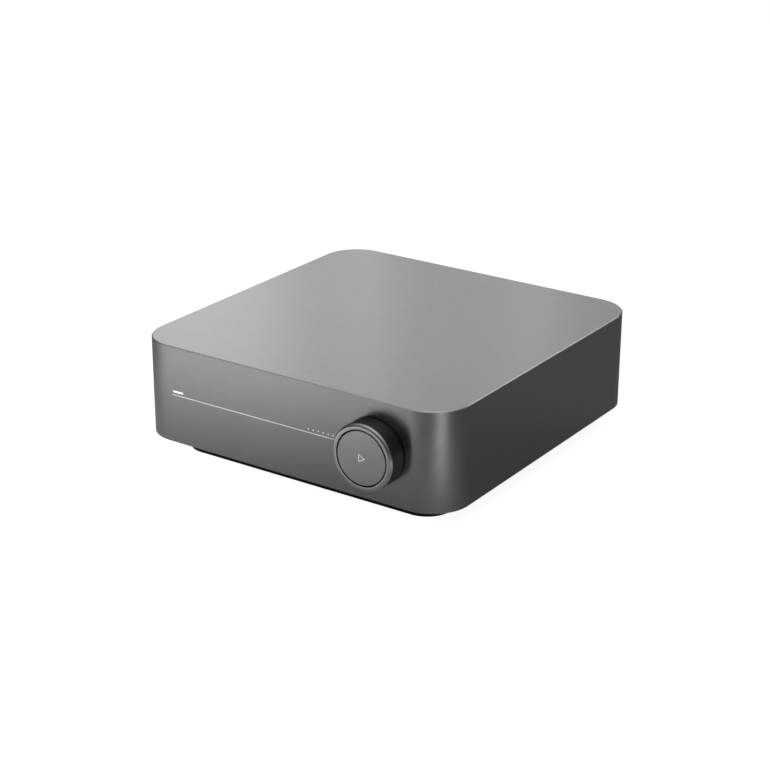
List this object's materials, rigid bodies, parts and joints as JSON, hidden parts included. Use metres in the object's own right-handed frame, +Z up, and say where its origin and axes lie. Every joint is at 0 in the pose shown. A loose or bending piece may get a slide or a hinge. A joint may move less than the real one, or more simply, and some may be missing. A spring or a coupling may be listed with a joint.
{
  "type": "streaming amplifier",
  "caption": "Low square aluminium amplifier on an inset plinth, with a turning front volume knob, a press button in its middle, indicator lights and a rear connector panel.",
  "frame": {"origin": "on the floor plane, under the middle of the square case", "axes": "+Z up, the front with the knob faces -Y, +X is to the right of a viewer at the front"},
  "size_m": [0.19, 0.2132, 0.063],
  "materials": {
    "case_aluminium": "bead-blasted, anodised grey",
    "knob_dark": "turned, anodised dark grey",
    "button_grey": "fine-turned, anodised grey",
    "bright_strip": "satin bright strip",
    "black_moulding": "fine spark-eroded moulding",
    "black_gloss": "moulded, semi-gloss",
    "red_moulding": "moulded, semi-gloss",
    "white_moulding": "moulded",
    "rubber": "soft black rubber",
    "light_guide": "clear to milky, lit ends",
    "mark_white": "filled outline, satin",
    "zinc_steel": "zinc plated",
    "black_steel": "black zinc screws",
    "spring_steel": "drawn wire and stamped clips",
    "gold_plate": "gold plated",
    "brass": "machined",
    "acetal": "bearing plastic",
    "magnet": "bonded ferrite",
    "board_green": "solder mask",
    "board_black": "black solder mask",
    "chip_black": "moulded package",
    "ferrite": "sintered ferrite",
    "winding": "taped winding",
    "capacitor_sleeve": "shrink sleeve",
    "heat_sink_aluminium": "extruded, plain",
    "glass_fuse": "clear tube",
    "cable_white": "flat cable film"
  },
  "bodies": {
    "case": {"enclosure": "case_aluminium", "base_cover": "black_moulding", "foot_ring": "rubber", "rear_panel": "black_moulding", "board_screws": "zinc_steel", "panel_screws": "black_steel", "base_screws": "black_steel", "front_line": "bright_strip", "status_light_guide": "light_guide", "level_light_guide": "light_guide", "indicator_leds": "white_moulding", "front_board": "board_black", "knob_bush": "brass", "thrust_washer": "acetal", "retaining_clip": "spring_steel", "bush_nut": "brass", "encoder_board": "board_black", "button_spring": "spring_steel", "tact_switch": "chip_black", "chassis_plate": "zinc_steel", "power_board": "board_green", "mains_fuse": "glass_fuse", "filter_choke": "ferrite", "bulk_capacitor": "capacitor_sleeve", "output_capacitors": "capacitor_sleeve", "transformer_core": "ferrite", "transformer_coil": "winding", "main_board": "board_black", "amplifier_chip": "chip_black", "heat_sink": "heat_sink_aluminium", "output_inductors": "ferrite", "streaming_module": "board_green", "module_shield": "zinc_steel", "antennas": "board_green", "flat_cable": "cable_white", "mains_inlet": "black_gloss", "inlet_pins": "zinc_steel", "terminal_block": "black_moulding", "post_studs": "gold_plate", "rca_jacks": "black_gloss", "rca_shells": "gold_plate", "optical_jack": "black_moulding", "hdmi_socket": "zinc_steel", "ethernet_socket": "black_gloss"},
    "volume_knob": {"volume_knob": "knob_dark", "knob_liner": "acetal", "encoder_magnet": "magnet"},
    "play_button": {"play_button": "button_grey", "play_mark": "mark_white", "stem_clip": "spring_steel", "switch_plunger": "white_moulding"},
    "optical_shutter": {"optical_shutter": "black_gloss"},
    "post_washer_1": {"post_washer_1": "gold_plate"},
    "post_cap_1": {"post_cap_1": "black_gloss"},
    "post_washer_2": {"post_washer_2": "gold_plate"},
    "post_cap_2": {"post_cap_2": "red_moulding"},
    "post_washer_3": {"post_washer_3": "gold_plate"},
    "post_cap_3": {"post_cap_3": "black_gloss"},
    "post_washer_4": {"post_washer_4": "gold_plate"},
    "post_cap_4": {"post_cap_4": "red_moulding"}
  },
  "joints": [
    {"name": "volume_turn", "type": "hinge", "parent": "case", "child": "volume_knob", "pos_m": [0.0546, -0.1006, 0.03662], "axis": [0, 1, 0], "continuous": true},
    {"name": "play_press", "type": "slide", "parent": "case", "child": "play_button", "axis": [0, 1, 0], "range_m": [0, 0.0006], "stiffness_N_per_m": 500, "springref_m": -0.0005, "deforming": ["button_spring"]},
    {"name": "optical_shutter_swing", "type": "hinge", "parent": "case", "child": "optical_shutter", "pos_m": [0.01258, 0.09035, 0.02874], "axis": [-1, 0, 0], "range_deg": [0, 80], "stiffness_Nm_per_rad": 0.0004, "springref_deg": -17.19},
    {"name": "post_1_travel", "type": "slide", "parent": "case", "child": "post_washer_1", "axis": [0, 1, 0], "range_m": [0, 0.004]},
    {"name": "post_1_turn", "type": "hinge", "parent": "post_washer_1", "child": "post_cap_1", "pos_m": [0.006, 0.0962, 0.046], "axis": [0, 1, 0], "range_deg": [0, 1440]},
    {"name": "post_2_travel", "type": "slide", "parent": "case", "child": "post_washer_2", "axis": [0, 1, 0], "range_m": [0, 0.004]},
    {"name": "post_2_turn", "type": "hinge", "parent": "post_washer_2", "child": "post_cap_2", "pos_m": [0.023, 0.0962, 0.046], "axis": [0, 1, 0], "range_deg": [0, 1440]},
    {"name": "post_3_travel", "type": "slide", "parent": "case", "child": "post_washer_3", "axis": [0, 1, 0], "range_m": [0, 0.004]},
    {"name": "post_3_turn", "type": "hinge", "parent": "post_washer_3", "child": "post_cap_3", "pos_m": [0.04, 0.0962, 0.046], "axis": [0, 1, 0], "range_deg": [0, 1440]},
    {"name": "post_4_travel", "type": "slide", "parent": "case", "child": "post_washer_4", "axis": [0, 1, 0], "range_m": [0, 0.004]},
    {"name": "post_4_turn", "type": "hinge", "parent": "post_washer_4", "child": "post_cap_4", "pos_m": [0.057, 0.0962, 0.046], "axis": [0, 1, 0], "range_deg": [0, 1440]}
  ],
  "couplings": [
    {"joint": "post_1_turn", "follows": "post_1_travel", "rad_per_m": 6283.2},
    {"joint": "post_2_turn", "follows": "post_2_travel", "rad_per_m": 6283.2},
    {"joint": "post_3_turn", "follows": "post_3_travel", "rad_per_m": 6283.2},
    {"joint": "post_4_turn", "follows": "post_4_travel", "rad_per_m": 6283.2}
  ]
}
